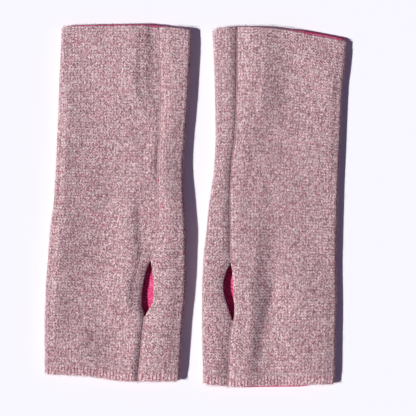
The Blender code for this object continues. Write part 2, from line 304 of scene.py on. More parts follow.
def read_curve(rows, value, at, key="y"):
    """Reads one named column of a table at places between its rows, on a curve with no overshoot."""
    rows = sorted(rows, key=lambda row: getattr(row, key))
    places = np.array([getattr(row, key) for row in rows], float)
    values = np.array([getattr(row, value) for row in rows], float)
    steps = np.diff(places)
    slopes = np.diff(values) / steps
    tangents = np.zeros(len(rows))
    before, after = slopes[:-1], slopes[1:]
    going_on = before * after > 0
    both = np.where(going_on, before + after, 1.0)
    tangents[1:-1] = np.where(going_on, 2.0 * before * after / both, 0.0)
    tangents[0] = slopes[0]
    tangents[-1] = slopes[-1]
    at = np.clip(at, places[0], places[-1])
    i = np.clip(np.searchsorted(places, at) - 1, 0, len(rows) - 2)
    s = (at - places[i]) / steps[i]
    return (
        values[i] * (1 + 2 * s) * (1 - s) ** 2
        + tangents[i] * steps[i] * s * (1 - s) ** 2
        + values[i + 1] * s * s * (3 - 2 * s)
        + tangents[i + 1] * steps[i] * s * s * (s - 1)
    )


def fold_relief(mitten, x, y):
    total = np.zeros(np.broadcast(x, y).shape)
    for fold in mitten.folds:
        along = (y - fold.y) / fold.along
        across = (x - fold.x - fold.lean * (y - fold.y)) / fold.across
        total += fold.height * np.exp(-across * across - along**4)
    for ripple in RIPPLES:
        turns = x / ripple.x_length + y / ripple.y_length + ripple.start
        total += ripple.height * np.sin(2 * math.pi * turns)
    return total


def seam_edges(mitten, y):
    """The seam's two edges at y, the main one first, as places along u."""
    edges = [mitten.thumb_side * read_curve(mitten.seams, name, y) for name in ("main_x", "thumb_x")]
    middle = (edges[0] + edges[1]) / 2
    gap = np.maximum(edges[1] - edges[0], 0.0)
    half = (SEAM_GAP + gap * smooth_step(gap / FREE_GAP)) / 2
    return middle - half, middle + half


def bend(turn, squareness):
    """Cosine and sine round a fold that is squarer than a circle."""
    cosine, sine = np.cos(turn), np.sin(turn)
    reach = (np.abs(cosine) ** squareness + np.abs(sine) ** squareness) ** (-1 / squareness)
    return reach * cosine, reach * sine


def shares(count):
    """Even shares of a stretch, whose end is left to the next stretch."""
    return (np.arange(count) / count)[None, :]


def main_front(mitten, y, shape, main_edge, main_z, outer_top):
    """The main side's front from the seam on, as u and z of its ledge, its climb and its panel."""
    ledge_edge = main_edge - np.maximum(shape["ledge"], LEAST_LEDGE)
    climb_top = ledge_edge - shape["climb"]
    s = shares(LEDGE_STEPS)
    ledge = main_edge + (ledge_edge - main_edge) * s, main_z + 0 * s
    s = shares(CLIMB_STEPS)
    rise = shape["beside_seam"] - main_z
    climb = ledge_edge - shape["climb"] * s, main_z + rise * (1 - (1 - s) ** 2)
    u = climb_top + (outer_top - climb_top) * shares(PANEL_STEPS)
    middle = (outer_top + climb_top) / 2
    away = np.clip((climb_top - u) / (climb_top - middle), 0.0, 1.0)
    near = shape["panel"] + (shape["beside_seam"] - shape["panel"]) * (1 - away) ** 2
    onward = smooth_step((middle - u) / (middle - outer_top))
    far = shape["panel"] + (shape["outer_fold"] - shape["panel"]) * onward
    fade = smooth_step((climb_top - u) / RELIEF_FADE) * smooth_step((u - outer_top) / RELIEF_FADE)
    relief = fade * fold_relief(mitten, mitten.thumb_side * u, y)
    return [ledge, climb, (u, np.where(u > middle, near, far) + relief)]


def round_the_back(outer_top, outer_radius, thumb_top, thumb_radius):
    """The outer fold, the back on the floor and the thumb fold, each as u and z."""
    cosine, sine = bend(math.pi * shares(OUTER_FOLD_STEPS), OUTER_SQUARENESS)
    outer_fold = outer_top - outer_radius * sine, outer_radius * (1 + cosine)
    u = outer_top + (thumb_top - outer_top) * shares(BACK_STEPS)
    back = u, np.zeros_like(u)
    cosine, sine = bend(math.pi * shares(THUMB_FOLD_STEPS), THUMB_SQUARENESS)
    thumb_fold = thumb_top + thumb_radius * sine, thumb_radius * (1 - cosine)
    return [outer_fold, back, thumb_fold]


def thumb_roll(shape, thumb_top, roll_edge, thumb_z):
    """The roll on the thumb side, over its crest and down to the seam, as u and z."""
    s = np.linspace(0, 1, ROLL_STEPS)[None, :]
    place = shape["crest_place"]
    toward_fold = shape["fold_drop"] * (1 - s / place) ** 2
    toward_seam = (shape["crest"] - thumb_z) * ((s - place) / (1 - place)) ** 2
    z = shape["crest"] - np.where(s < place, toward_fold, toward_seam)
    return thumb_top + (roll_edge - thumb_top) * s, z


def rings(mitten, y):
    """Finely divided open rings on the outer face, one row for each nominal place y, as u and z.

    u is x measured so that the thumb fold lies on its positive side.
    """
    y = y[:, None]
    shape = {name: read_curve(mitten.shapes, name, y) for name in Shape._fields[1:]}
    main_z, thumb_z = (read_curve(mitten.seams, name, y) for name in ("main_z", "thumb_z"))
    main_edge, roll_edge = seam_edges(mitten, y)
    outer_radius = shape["outer_fold"] / 2
    outer_top = mitten.thumb_side * shape["outer_x"] + outer_radius
    thumb_radius = (shape["crest"] - shape["fold_drop"]) / 2
    thumb_top = mitten.thumb_side * shape["thumb_x"] - thumb_radius
    stretches = main_front(mitten, y, shape, main_edge, main_z, outer_top)
    stretches += round_the_back(outer_top, outer_radius, thumb_top, thumb_radius)
    stretches.append(thumb_roll(shape, thumb_top, roll_edge, thumb_z))
    return (np.concatenate(values, axis=1) for values in zip(*stretches))


def calm(values):
    """The values with their quick changes from row to row averaged away."""
    reach = np.arange(-3 * CALM_ROWS, 3 * CALM_ROWS + 1)
    weights = np.exp(-0.5 * (reach / CALM_ROWS) ** 2)
    padded = np.pad(values, 3 * CALM_ROWS, mode="reflect", reflect_type="odd")
    return np.convolve(padded, weights / weights.sum(), mode="valid")


def wale_places(run, middle, around):
    """Where each column lies along each ring, given the run along it and the run to its back's middle."""
    main, thumb = middle, run[:, -1] - middle
    calm_main, calm_thumb = calm(main), calm(thumb)
    girth = run[:, -1].mean()
    turn = main.mean() / girth
    main_pull = np.exp(-around * girth / PULL_REACH)
    thumb_pull = np.exp(-(1 - around) * girth / PULL_REACH)
    from_middle = np.where(
        around[None, :] < turn,
        (around / turn - 1)[None, :] * calm_main[:, None],
        ((around - turn) / (1 - turn))[None, :] * calm_thumb[:, None],
    )
    pulled = (thumb - calm_thumb)[:, None] * thumb_pull - (main - calm_main)[:, None] * main_pull
    places = main[:, None] + from_middle + pulled
    places[:, 0], places[:, -1] = 0.0, run[:, -1]
    return places


def hem_place(hem, outward, x, z, is_pink):
    """Where a hem lies at x, on the front layer, on the back layer or on the fold between them."""
    on_back = 1 - smooth_step(z / FRONT_LEVEL)
    further = read_curve(hem, "back", x, key="x") * on_back
    if is_pink:
        further = further + read_curve(hem, "peek", x, key="x")
    return read_curve(hem, "y", x, key="x") + outward * further


def hem_sink(z, distance):
    """How much lower the cloth lies at this distance in from a hem."""
    nearness = smooth_step(1 - distance / HEM_SINK_REACH)
    return HEM_SINK * nearness * smooth_step(z / FRONT_LEVEL)


def corner_drop(distance):
    return CORNER_DROP * np.maximum(1 - distance / CORNER_REACH, 0.0) ** 2


class Face:
    """The outer face of one mitten as a smooth surface, read at (course share, wale share).

    For the pink face it is the same surface, as far as that face's hems reach.
    """

    ROWS = 2 * COURSES

    def __init__(self, mitten, around, is_pink):
        """around holds the wale shares of the columns, from 0 at the seam's main edge to 1."""
        share = np.linspace(0, 1, self.ROWS + 1)
        y = mitten.finger_end + (mitten.forearm_end - mitten.finger_end) * share
        u, z = rings(mitten, y)
        steps = np.hypot(np.diff(u, axis=1), np.diff(z, axis=1))
        run = np.concatenate([np.zeros((len(u), 1)), np.cumsum(steps, axis=1)], axis=1)
        aside = np.abs(u - (u.min(axis=1) + u.max(axis=1))[:, None] / 2)
        nearest = np.where(z < BACK_LEVEL, aside, np.inf).argmin(axis=1)
        middle = run[np.arange(len(run)), nearest]
        wanted = wale_places(run, middle, around)
        u = np.array([np.interp(wanted[j], run[j], u[j]) for j in range(len(u))])
        z = np.array([np.interp(wanted[j], run[j], z[j]) for j in range(len(z))])
        x = mitten.thumb_side * u
        drop = corner_drop(
            np.minimum(u - u.min(axis=1, keepdims=True), u.max(axis=1, keepdims=True) - u)
        )
        low = hem_place(mitten.finger_hem, -1, x, z, is_pink) + drop
        high = hem_place(mitten.forearm_hem, 1, x, z, is_pink) - drop
        from_low = (high - low) * share[:, None]
        lower = hem_sink(z, from_low) + hem_sink(z, high - low - from_low)
        self.points = np.stack([x, low + from_low, z - lower], axis=2)
        along = np.gradient(self.points, axis=0)
        across = np.gradient(self.points, axis=1)
        normals = np.cross(along, across) * mitten.thumb_side
        self.normals = normals / np.linalg.norm(normals, axis=2, keepdims=True)

    def read(self, share):
        """Points and outward normals at these course shares, one row of columns for each row."""
        place = np.clip(share, 0, 1) * self.ROWS
        row = np.minimum(place.astype(int), self.ROWS - 1)
        part = (place - row)[:, :, None]
        column = np.arange(share.shape[1])[None, :]
        points, normals = (
            grid[row, column] * (1 - part) + grid[row + 1, column] * part
            for grid in (self.points, self.normals)
        )
        return points, normals / np.linalg.norm(normals, axis=2, keepdims=True)


def tables_to_model():
    """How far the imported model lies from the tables' places, because its box was centred."""
    left_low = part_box("left_outer_knit")[0] / MM
    right_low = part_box("right_outer_knit")[0] / MM
    return np.array(
        (
            left_low.x - min(row.outer_x for row in LEFT.shapes),
            right_low.y - min(row.y for row in RIGHT.finger_hem),
            0.0,
        )
    )


SHIFT = tables_to_model()


def make_piece(name, points, faces, material, slot, maps=()):
    """A mesh piece from points in millimetres, with its UV maps given as (name, corner places)."""
    data = bpy.data.meshes.new(name)
    data.from_pydata(((points + SHIFT) * MM).tolist(), [], faces)
    for map_name, places in maps:
        layer = data.uv_layers.new(name=map_name)
        layer.data.foreach_set("uv", np.ascontiguousarray(places, np.float32).ravel())
    data.shade_smooth()
    data.materials.append(material)
    data.validate()
    data.update()
    piece = bpy.data.objects.new(name, data)
    bpy.context.scene.collection.objects.link(piece)
    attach(piece, "root")
    return piece


# A face of the knit: its columns in a wale and rows in a course, how many of them one step of its
# hidden side spans, its relief and rounded edges, and the depths of its shown and hidden sides
# below the outer face
Layer = namedtuple(
    "Layer",
    "label slot columns rows column_skip row_skip relief rounding shown_depth hidden_depth",
)
OUTER = Layer(
    label="outer_knit",
    slot="heather_knit",
    columns=2,
    rows=4,
    column_skip=2,
    row_skip=6,
    relief=OUTER_RELIEF,
    rounding=OUTER_ROUNDING,
    shown_depth=0.0,
    hidden_depth=OUTER_FACE,
)
INNER = Layer(
    label="inner_knit",
    slot="pink_knit",
    columns=2,
    rows=3,
    column_skip=2,
    row_skip=4,
    relief=INNER_RELIEF,
    rounding=INNER_ROUNDING,
    shown_depth=WALL,
    hidden_depth=WALL - INNER_FACE,
)
# The thinnest that a wall gets, and the mean size of a mitten's panel laid flat
LEAST_CLOTH = 0.1
USUAL_GIRTH = 178.0
USUAL_LENGTH = 229.0
# A patch of a wall's baking map: its two ends across, and its margin from the map's lower and upper
# ends. The rim's patch frames the hidden side's.
Patch = namedtuple("Patch", "low high margin")
SHOWN_PATCH = Patch(0.005, 0.925, 0.005)
HIDDEN_PATCH = Patch(0.945, 0.990, 0.010)
RIM_PATCH = Patch(0.941, 0.994, 0.006)


def stations(count, rounding, length):
    """Shares of the way from edge to edge and how far the surface sinks at each, edges rounded."""
    start = [(step.distance / length, step.sink) for step in rounding]
    even = [(i / count, 0.0) for i in range(1, count)]
    end = [(1 - share, sink) for share, sink in reversed(start)]
    return np.array(start + even + end).T


def stitch_height(wale, course):
    """How high the knit stands at a place, from 0 in the valleys to 1 on a leg, and its legs' climb."""
    aside = np.abs(wale % 1.0 - 0.5) * 2
    vee = smooth_step(np.minimum(course, COURSES - course) / HEM_COURSES)
    round_leg = np.abs(np.sin(np.pi * course)) ** LEG_ROUNDNESS
    leg = round_leg * (1 - SIDE_DIP * aside)
    rib = (1 - RIB_DIP * aside**2) * (1 - RIB_ROUNDING + RIB_ROUNDING * round_leg)
    return rib + (leg - rib) * vee, vee * LEG_CLIMB * (aside - 0.5)


def grid_quads(first, rows, columns):
    index = first + np.arange(rows * columns).reshape(rows, columns)
    corners = (index[:-1, :-1], index[:-1, 1:], index[1:, 1:], index[1:, :-1])
    return np.stack(corners, axis=-1).reshape(-1, 4)


def borders(first, rows, columns):
    """The indices along a grid's four sides, going round it with its first row first."""
    index = first + np.arange(rows * columns).reshape(rows, columns)
    return index[0], index[:, -1], index[-1, ::-1], index[::-1, 0]


def join_borders(fine_sides, coarse_sides):
    """Triangles between two borders, where each step of the coarse one spans a few fine steps."""
    faces = []
    for fine, coarse in zip(fine_sides, coarse_sides):
        skip = (len(fine) - 1) // (len(coarse) - 1)
        half = skip // 2
        for c, (a, b) in enumerate(zip(coarse[:-1], coarse[1:])):
            steps = fine[c * skip : (c + 1) * skip + 1]
            faces += [(steps[k + 1], steps[k], a) for k in range(half)]
            faces.append((steps[half], a, b))
            faces += [(steps[k + 1], steps[k], b) for k in range(half, skip)]
    return np.array(faces)


def wall_sides(face, layer, around, along, edge_sink):
    """The points of a wall's shown side, in stitches, and those of its plain hidden side."""
    height, climb = stitch_height(around[None, :] * WALES, along[:, None] * COURSES)
    inward = layer.hidden_depth - layer.shown_depth
    sink = np.minimum(edge_sink + layer.relief * (1 - height), abs(inward) - LEAST_CLOTH)
    points, normals = face.read(along[:, None] + climb / COURSES)
    shown = points - normals * (layer.shown_depth + sink * np.sign(inward))[:, :, None]
    points, normals = face.read(np.broadcast_to(along[:, None], height.shape))
    hidden = (points - normals * layer.hidden_depth)[:: layer.row_skip, :: layer.column_skip]
    return shown, hidden


def wall_faces(shown_size, hidden_size, is_turned):
    """The faces of a wall's shown side, of its hidden side and of the rim between them."""
    first = shown_size[0] * shown_size[1]
    front = grid_quads(0, *shown_size)
    back = grid_quads(first, *hidden_size)[:, ::-1]
    joins = join_borders(borders(0, *shown_size), borders(first, *hidden_size))
    if is_turned:
        return front[:, ::-1], back[:, ::-1], joins[:, ::-1]
    return front, back, joins


def patch_places(patch, a, b):
    """Places on the baking map for the shares a across a patch and b along it."""
    across = patch.low + (patch.high - patch.low) * a
    return np.stack([across, patch.margin + (1 - 2 * patch.margin) * b], axis=1)


def wall_maps(mitten, layer, around, along, shown_corners, other_corners):
    """A wall's baking map and its knit map, with a place for each corner of its faces."""
    a, b = (places.ravel() for places in np.meshgrid(around, along))
    coarse = np.meshgrid(around[:: layer.column_skip], along[:: layer.row_skip])
    coarse_a, coarse_b = (places.ravel() for places in coarse)
    wales = mitten.first_wale + np.append(a, coarse_a) * WALES
    knit_places = np.stack([wales, np.append(b, coarse_b) * COURSES], axis=1)
    hidden = patch_places(HIDDEN_PATCH, coarse_a, coarse_b)
    behind = np.concatenate([patch_places(RIM_PATCH, a, b), hidden])
    shown = patch_places(SHOWN_PATCH, a, b)
    bake_places = np.concatenate([shown[shown_corners], behind[other_corners]])
    corners = np.concatenate([shown_corners, other_corners])
    return ("OFBake", bake_places), ("knit", knit_places[corners])


def build_wall(mitten, layer, material):
    """One face of a mitten's knit as a closed wall, its shown side knitted and its hidden side plain."""
    around, column_sink = stations(WALES * layer.columns, layer.rounding, USUAL_GIRTH)
    along, row_sink = stations(COURSES * layer.rows, layer.rounding, USUAL_LENGTH)
    face = Face(mitten, around, layer is INNER)
    edge_sink = np.maximum(row_sink[:, None], column_sink[None, :])
    shown, hidden = wall_sides(face, layer, around, along, edge_sink)
    points = np.concatenate([shown.reshape(-1, 3), hidden.reshape(-1, 3)])
    is_turned = mitten.thumb_side * (layer.hidden_depth - layer.shown_depth) > 0
    front, back, joins = wall_faces(shown.shape[:2], hidden.shape[:2], is_turned)
    faces = front.tolist() + back.tolist() + joins.tolist()
    other_corners = np.concatenate([back.ravel(), joins.ravel()])
    maps = wall_maps(mitten, layer, around, along, front.ravel(), other_corners)
    name = f"{mitten.name}_{layer.label}"
    piece = make_piece(f"{name}_stitches", points, faces, material, layer.slot, maps)
    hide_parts(name)
    return piece, face


def tubes(paths, radius, sides):
    """One mesh of many short yarns with closed ends, each along its own path of points."""
    points, faces = [], []
    for path in paths:
        path = np.array(path)
        ahead = np.gradient(path, axis=0)
        ahead /= np.linalg.norm(ahead, axis=1)[:, None]
        side = np.cross(ahead, (0.0, 0.0, 1.0))
        side /= np.linalg.norm(side, axis=1)[:, None]
        up = np.cross(side, ahead)
        first = len(points)
        for centre, s, u in zip(path, side, up):
            for k in range(sides):
                turn = 2 * math.pi * k / sides
                points.append(centre + radius * (math.cos(turn) * s + math.sin(turn) * u))
        for j in range(len(path) - 1):
            for k in range(sides):
                a, b = first + j * sides + k, first + j * sides + (k + 1) % sides
                faces.append((a, a + sides, b + sides, b))
        faces.append(tuple(first + k for k in range(sides)))
        faces.append(tuple(first + (len(path) - 1) * sides + k for k in reversed(range(sides))))
    return np.array(points), faces


# A linking stitch: its yarn, how far it reaches into each edge, how deep its ends and middle lie,
# and in courses how far it climbs and how far apart the stitches are
LINK_RADIUS = 0.28
LINK_SIDES = 6
LINK_REACH = 0.6
LINK_END_DEPTH = 0.8
LINK_MIDDLE_DEPTH = 0.2
LINK_CLIMB = 0.7
LINK_STEP = 0.5
# Points along each arched yarn
ARCH_POINTS = 6


def arch(start, top, end):
    """Points along a smooth arch whose middle is at top."""
    s = np.linspace(0, 1, ARCH_POINTS)[:, None]
    pull = 2 * top - (start + end) / 2
    return start * (1 - s) ** 2 + 2 * pull * s * (1 - s) + end * s * s


def closed_courses(mitten):
    """The places in courses at which a linking stitch closes the seam."""
    span = mitten.forearm_end - mitten.finger_end
    for course in np.arange(LINK_STEP, COURSES - LINK_STEP - LINK_CLIMB, LINK_STEP):
        main, thumb = seam_edges(mitten, mitten.finger_end + span * course / COURSES)
        if thumb - main < CLOSED_GAP:
            yield course


def build_seam(mitten, face, material):
    """The linking stitches across the closed seam, each a slanted yarn."""
    paths = []
    across = np.array((mitten.thumb_side * LINK_REACH, 0.0, 0.0))
    for course in closed_courses(mitten):
        middles = []
        for place in (course, course + LINK_CLIMB):
            share = np.full((1, face.points.shape[1]), place / COURSES)
            points, normals = face.read(share)
            middles.append(((points[0, 0] + points[0, -1]) / 2, (normals[0, 0] + normals[0, -1]) / 2))
        (low, up), (high, _) = middles
        start = low - across - up * LINK_END_DEPTH
        end = high + across - up * LINK_END_DEPTH
        paths.append(arch(start, (low + high) / 2 - up * LINK_MIDDLE_DEPTH, end))
    points, faces = tubes(paths, LINK_RADIUS, LINK_SIDES)
    return make_piece(f"{mitten.name}_seam_stitches", points, faces, material, "heather_knit")


# Where the pink knit's yarn shows through the left front, as loops that stand on the heather face,
# and how far each loop reaches either way
Speck = namedtuple("Speck", "x y reach")
SPECKS = (
    Speck(-23.6, 16.2, 0.62),
    Speck(-21.3, 0.9, 0.36),
    Speck(-21.4, -1.1, 0.32),
    Speck(-20.6, -2.3, 0.36),
)
# A loop's yarn, the way in which it lies, how high its middle stands and how deep its ends lie
SPECK_RADIUS = 0.3
SPECK_SIDES = 8
SPECK_WAY = (0.3, 1.0, 0.0)
SPECK_HEIGHT = 0.2
SPECK_END_DEPTH = 0.5


def build_specks(mitten, face, material):
    """Small loops of pink yarn on the front, half sunk in it."""
    front = face.points[:, :, 2] > FRONT_LEVEL
    paths = []
    for speck in SPECKS:
        away = np.hypot(face.points[:, :, 0] - speck.x, face.points[:, :, 1] - speck.y)
        row, column = np.unravel_index(np.where(front, away, np.inf).argmin(), away.shape)
        middle, normal = face.points[row, column], face.normals[row, column]
        along = np.array(SPECK_WAY) * speck.reach
        top = middle + normal * SPECK_HEIGHT
        sunk = normal * SPECK_END_DEPTH
        paths.append(arch(middle - along - sunk, top, middle + along - sunk))
    points, faces = tubes(paths, SPECK_RADIUS, SPECK_SIDES)
    return make_piece(f"{mitten.name}_pink_specks", points, faces, material, "pink_knit")


# Loose fibres on each mitten: how many stand off its folds and how many off each hem, the largest
# upward part of a normal that counts as on a fold, and the height above which they start
FOLD_FIBRES = 2200
HEM_FIBRES = 600
FOLD_UPWARD = 0.6
FIBRE_LOWEST = 1.5
# A fibre's shortest and longest length, its radius, how deep in the knit it starts, and how far its
# way strays
FIBRE_LENGTHS = (0.5, 1.5)
FIBRE_RADIUS = 0.03
FIBRE_SIDES = 3
FIBRE_DEPTH = 0.3
FIBRE_STRAY = 0.5
FIBRE_SEED = 11


def build_fuzz(mitten, face, material):
    """Short loose fibres that stand off the folds and the hems."""
    draw = np.random.default_rng(FIBRE_SEED)
    upper = face.points[:, :, 2] > FIBRE_LOWEST
    rows, columns = np.nonzero(upper & (np.abs(face.normals[:, :, 2]) < FOLD_UPWARD))
    picked = draw.integers(len(rows), size=FOLD_FIBRES)
    places = [(rows[picked], columns[picked])]
    ways = [face.normals[places[0]]]
    for row, outward in ((0, -1.0), (face.ROWS, 1.0)):
        columns = np.nonzero(upper[row])[0]
        picked = draw.integers(len(columns), size=HEM_FIBRES)
        places.append((np.full(HEM_FIBRES, row), columns[picked]))
        ways.append(np.tile((0.0, outward, 0.0), (HEM_FIBRES, 1)))
    rows, columns = (np.concatenate(part) for part in zip(*places))
    way = np.concatenate(ways) + draw.normal(0.0, FIBRE_STRAY, (len(rows), 3))
    bent = way + draw.normal(0.0, FIBRE_STRAY, way.shape)
    length = draw.uniform(*FIBRE_LENGTHS, (len(rows), 1))
    start = face.points[rows, columns] - face.normals[rows, columns] * FIBRE_DEPTH
    middle = start + way / np.linalg.norm(way, axis=1, keepdims=True) * length / 2
    tip = middle + bent / np.linalg.norm(bent, axis=1, keepdims=True) * length / 2
    paths = np.stack([start, middle, tip], axis=1)
    paths[:, :, 2] = np.maximum(paths[:, :, 2], 2 * FIBRE_RADIUS)
    points, faces = tubes(paths, FIBRE_RADIUS, FIBRE_SIDES)
    return make_piece(f"{mitten.name}_fuzz", points, faces, material, "heather_knit")


class Nodes:
    """A short way to lay out a material's nodes."""

    def __init__(self, name):
        self.material = bpy.data.materials.new(name)
        self.material.use_nodes = True
        self.tree = self.material.node_tree
        self.shader = self.tree.nodes["Principled BSDF"]

    def add(self, kind, settings=None, **inputs):
        node = self.tree.nodes.new(kind)
        for key, value in (settings or {}).items():
            setattr(node, key, value)
        for key, value in inputs.items():
            self.set(node, key.replace("_", " "), value)
        return node

    def set(self, node, key, value):
        """Links or sets one input, which is given by its name or its number."""
        socket = node.inputs[key]
        if isinstance(value, bpy.types.NodeSocket):
            self.tree.links.new(value, socket)
        else:
            socket.default_value = value

    def math(self, operation, *values):
        node = self.add("ShaderNodeMath", {"operation": operation})
        for number, value in enumerate(values):
            self.set(node, number, value)
        return node.outputs[0]

    def remap(self, value, low, high, to_low=0.0, to_high=1.0):
        ends = {"From_Min": low, "From_Max": high, "To_Min": to_low, "To_Max": to_high}
        return self.add("ShaderNodeMapRange", Value=value, **ends).outputs[0]

    def combine(self, x, y, z=0.0):
        return self.add("ShaderNodeCombineXYZ", X=x, Y=y, Z=z).outputs[0]

    def spread(self, x, y, cells):
        """The place (x, y) counted in cells, of which there are so many to one x and to one y."""
        return self.combine(self.math("MULTIPLY", x, cells[0]), self.math("MULTIPLY", y, cells[1]))

    def off_middle(self, value):
        """How far a value is from the middle between its two whole numbers."""
        return self.math("ABSOLUTE", self.math("SUBTRACT", self.math("FRACT", value), 0.5))

    def noise(self, vector, scale, detail=2.0, roughness=0.5):
        settings = {"Scale": scale, "Detail": detail, "Roughness": roughness}
        return self.add("ShaderNodeTexNoise", Vector=vector, **settings).outputs["Fac"]

    def three(self, colour):
        """The three parts of a random colour, each from -0.5 to 0.5."""
        parts = self.add("ShaderNodeSeparateXYZ", Vector=colour).outputs
        return [self.math("SUBTRACT", part, 0.5) for part in parts]

    def cells(self, vector):
        """Three random numbers for each of the small uneven cells round the places."""
        node = self.add("ShaderNodeTexVoronoi", Vector=vector, Scale=1.0, Randomness=1.0)
        return self.three(node.outputs["Color"])

    def random(self, vector):
        """Three random numbers for each whole place."""
        node = self.add("ShaderNodeTexWhiteNoise", {"noise_dimensions": "3D"}, Vector=vector)
        return self.three(node.outputs["Color"])

    def sum(self, *parts):
        """The sum of values about their middles, each times its weight. A noise's middle is 0.5."""
        total = 0.0
        for value, weight in parts:
            centred = value
            if value.node.type == "TEX_NOISE":
                centred = self.math("SUBTRACT", value, 0.5)
            total = self.math("MULTIPLY_ADD", centred, weight, total)
        return total

    def mix(self, share, a, b):
        """A colour between a and b. A colour's inputs are the mix node's seventh and eighth."""
        node = self.add("ShaderNodeMix", {"data_type": "RGBA"})
        for number, value in ((0, share), (6, a), (7, b)):
            self.set(node, number, value)
        return node.outputs[2]

    def ramp(self, value, stops):
        node = self.add("ShaderNodeValToRGB", Fac=value)
        elements = node.color_ramp.elements
        while len(elements) < len(stops):
            elements.new(0.5)
        for element, (place, colour) in zip(elements, stops):
            element.position = place
            element.color = (*colour, 1.0)
        return node.outputs["Color"]


# Linear colours of each yarn's fibres from dark to light, of its two kinds of odd tufts and how much
# of those two shows, and of the painted shade in its valleys, plain and warm, the warm one also
# standing for the pink yarn that shows through, with the most of a valley that they take. Toward the
# forearm the tone rises by its own share, as painted light.
Yarn = namedtuple("Yarn", "tones lift warm cool odd valley warm_valley valley_share sheen_tint sheen")
HEATHER = Yarn(
    tones=(
        (0.00, (0.23, 0.112, 0.126)),
        (0.28, (0.42, 0.240, 0.254)),
        (0.52, (0.58, 0.370, 0.384)),
        (0.76, (0.75, 0.532, 0.545)),
        (1.00, (0.90, 0.710, 0.720)),
    ),
    lift=0.10,
    warm=(0.56, 0.215, 0.275),
    cool=(0.54, 0.455, 0.435),
    odd=0.75,
    valley=(0.110, 0.058, 0.064),
    warm_valley=(0.24, 0.045, 0.080),
    valley_share=1.0,
    sheen_tint=(1.0, 0.94, 0.94),
    sheen=0.2,
)
PINK = Yarn(
    tones=(
        (0.00, (0.66, 0.028, 0.14)),
        (0.40, (0.84, 0.065, 0.22)),
        (0.75, (0.92, 0.115, 0.32)),
        (1.00, (0.98, 0.240, 0.44)),
    ),
    lift=0.0,
    warm=(0.80, 0.020, 0.14),
    cool=(0.80, 0.10, 0.30),
    odd=0.35,
    valley=(0.36, 0.008, 0.060),
    warm_valley=(0.48, 0.012, 0.08),
    valley_share=0.85,
    sheen_tint=(1.0, 0.75, 0.85),
    sheen=0.2,
)

# Courses of the left front where the valleys show darker, as first and last wale
MarkedRow = namedtuple("MarkedRow", "course first last")
MARKED_ROWS = (MarkedRow(59, 11, 20), MarkedRow(122, 15, 29))

# The wool's grain: cells in a wale and in a course for the streaks along the courses, the fibres
# along a leg and the tufts, and turns in a metre for the patches, the nap and a loose yarn's fibres
STREAK_CELLS = (0.09, 0.45)
FIBRE_CELLS = (1.6, 5.0)
TUFT_CELLS = (4.2, 3.2)
PATCH_SCALE = 48.0
NAP_SCALE = 2600.0
YARN_SCALE = 1500.0
# The detail and roughness of the noise that makes fibres
FIBRE_NOISE = (3.0, 0.6)

# How much each part of the grain sways the tone and the hue, which span of each is used, and over
# which courses the tone rises as painted light
Tone = namedtuple("Tone", "leg streaks tufts fibres patches")
TONE = Tone(leg=0.08, streaks=0.22, tufts=1.9, fibres=0.08, patches=0.16)
TONE_SPAN = (-0.47, 0.53)
Hue = namedtuple("Hue", "leg streaks tufts")
HUE = Hue(leg=0.3, streaks=-0.5, tufts=0.8)
ODD_HUE = (0.16, 0.50)
YARN_SPAN = (0.3, 0.7)
LIGHT_RISE_COURSES = (64.0, 128.0)

# Valleys between the courses, at the wales' sides and at the legs' ends, which take painted shade:
# the distances from the middle of a course, a wale and a leg at which each starts and is deepest, and
# how deep it is
BETWEEN_COURSES = (0.22, 0.48)
BETWEEN_DEPTH = 0.62
WALE_SIDE = (0.20, 0.42)
WALE_SIDE_COURSE = (-0.15, 0.40)
WALE_SIDE_DEPTH = 0.7
LEG_END = (0.36, 0.5)
LEG_END_DEPTH = 0.5
# The courses over which the finger hem's ribs end, and where the furrows between the ribs lie, which
# take painted shade there
RIBS_END = (HEM_COURSES + 0.6, HEM_COURSES - 0.4)
FURROW_SIDE = (0.26, 0.44)
FURROW_START = (0.1, 0.6)
# The least of a valley that its painted shade takes, and the random numbers from which a valley's
# shade starts to be warm and is wholly so
LEAST_VALLEY = 0.45
WARM_VALLEYS = (0.10, 0.30)

# The finish that all the wool shares, and how much fibres and nap raise its surface
ROUGHNESS = 0.92
SPECULAR = 0.25
KNIT_SHEEN_ROUGHNESS = 0.45
RELIEF_DEPTH = 0.3
KNIT_BUMP = 0.6
YARN_BUMP = 0.5
FIBRE_RISE = 0.7
NAP_RISE = 0.5


def grain_colour(n, yarn, wale, course, body, fibres):
    """The wool's colour: each leg and each tuft of fibres has its own tone, and some their own hue, and
    the tone rises toward the forearm as painted light.
    """
    row = n.math("FLOOR", course)
    leg = n.random(n.combine(n.math("FLOOR", n.math("MULTIPLY", wale, 2.0)), row, 0.5))
    streaks = n.noise(n.spread(wale, row, STREAK_CELLS), 1.0)
    tufts = n.cells(n.spread(wale, course, TUFT_CELLS))
    patches = n.noise(body, PATCH_SCALE, 1.0)
    tone = n.sum(
        (leg[0], TONE.leg),
        (streaks, TONE.streaks),
        (tufts[0], TONE.tufts),
        (fibres, TONE.fibres),
        (patches, TONE.patches),
        # Painted light: the tone rises toward the forearm hem
        (n.remap(course, *LIGHT_RISE_COURSES), yarn.lift),
    )
    colour = n.ramp(n.remap(tone, *TONE_SPAN), yarn.tones)
    hue = n.sum((tufts[1], HUE.tufts), (leg[1], HUE.leg), (streaks, HUE.streaks))
    low, high = ODD_HUE
    colour = n.mix(n.remap(hue, low, high, 0.0, yarn.odd), colour, (*yarn.warm, 1.0))
    return n.mix(n.remap(hue, -low, -high, 0.0, yarn.odd), colour, (*yarn.cool, 1.0))


